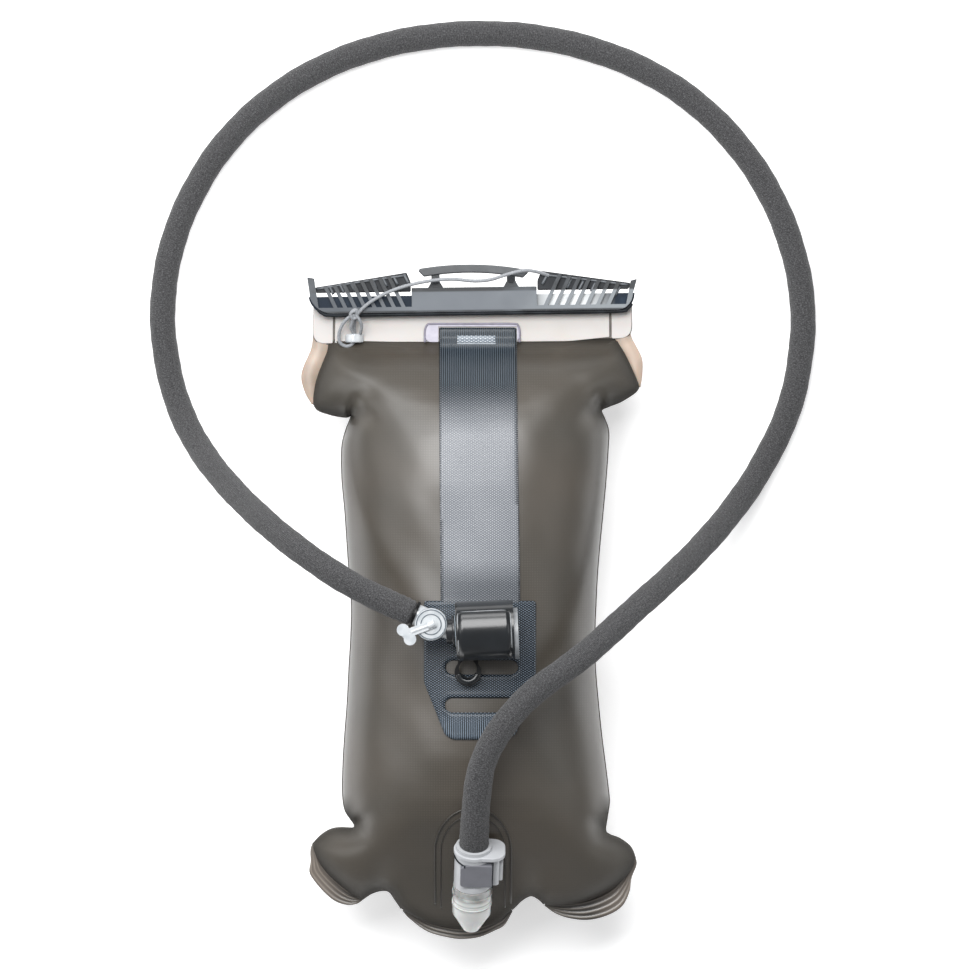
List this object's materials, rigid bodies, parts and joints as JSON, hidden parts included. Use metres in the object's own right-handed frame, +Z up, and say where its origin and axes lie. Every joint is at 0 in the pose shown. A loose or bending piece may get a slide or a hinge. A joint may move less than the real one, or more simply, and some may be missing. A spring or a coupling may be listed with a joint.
{
  "type": "hydration bladder",
  "caption": "Soft water reservoir with a slide closure, hand strap, snap-in drink port and an insulated hose ending in a covered bite valve.",
  "frame": {"origin": "centre of the reservoir's footprint on the surface it lies on", "axes": "+X across the reservoir to the right, +Y along it from the drink port to the slide closure, +Z up out of the front face"},
  "size_m": [0.3501, 0.4807, 0.1258],
  "materials": {
    "film": "satin smoky translucent film",
    "weld": "satin welded film",
    "lip": "satin off-white",
    "frame_line": "satin",
    "strap": "embossed blue-grey",
    "port": "translucent white",
    "steel": "satin",
    "clear": "clear",
    "slider": "satin blue-grey",
    "rail": "satin dark grey",
    "tether": "light grey cord",
    "plug": "satin light grey",
    "seal": "matte black",
    "tube": "clear",
    "sleeve": "dark grey knit",
    "neck": "satin black",
    "silicone": "translucent",
    "cover": "glossy charcoal"
  },
  "bodies": {
    "reservoir": {"front_panel": "film", "back_panel": "film", "side_weld_left": "weld", "side_weld_right": "weld", "bottom_weld": "weld", "front_lip": "lip", "back_lip": "lip", "strap_frame": "frame_line", "hand_strap": "strap", "strap_anchor": "strap", "port_patch": "film", "port_socket": "port", "port_inner_flange": "port", "poppet_spring": "steel", "tether_clip": "clear"},
    "poppet": {"valve_poppet": "port"},
    "slider": {"slider_channel": "slider", "slider_rail_left": "rail", "slider_rail_right": "rail", "slider_bridge": "rail", "bridge_posts": "slider", "bridge_rivets": "rail", "tether_cord": "tether"},
    "hose": {"plug_body": "plug", "plug_o_ring": "seal", "button_spring": "steel", "hose_tube": "tube", "hose_sleeve": "sleeve", "sleeve_ring": "seal", "valve_body": "clear", "bite_neck": "neck", "bite_valve": "silicone"},
    "release_button": {"release_button": "plug"},
    "lever": {"shutoff_lever": "clear", "lever_o_ring": "seal"},
    "dust_cover": {"dust_cover": "cover", "cover_leash": "seal"}
  },
  "joints": [
    {"name": "slider_slide", "type": "slide", "parent": "reservoir", "child": "slider", "axis": [-0.9999, -0.0133, 0], "range_m": [0, 0.172]},
    {"name": "plug_pull", "type": "slide", "parent": "reservoir", "child": "hose", "axis": [0.03, 0.8477, 0.5297], "range_m": [0, 0.02]},
    {"name": "poppet_slide", "type": "slide", "parent": "reservoir", "child": "poppet", "axis": [0.03, 0.8477, 0.5297], "range_m": [0, 0.003]},
    {"name": "button_press", "type": "slide", "parent": "hose", "child": "release_button", "axis": [-1, 0, 0], "range_m": [0, 0.0015], "stiffness_N_per_m": 800, "springref_m": -0.002},
    {"name": "lever_turn", "type": "hinge", "parent": "hose", "child": "lever", "pos_m": [-0.0207, -0.011, 0.12], "axis": [0, 0, 1], "range_deg": [0, 90]},
    {"name": "cover_pull", "type": "slide", "parent": "hose", "child": "dust_cover", "axis": [0.999, 0.0436, 0], "range_m": [0, 0.02]}
  ],
  "couplings": [
    {"joint": "poppet_slide", "follows": "plug_pull", "ratio": 0.15}
  ]
}
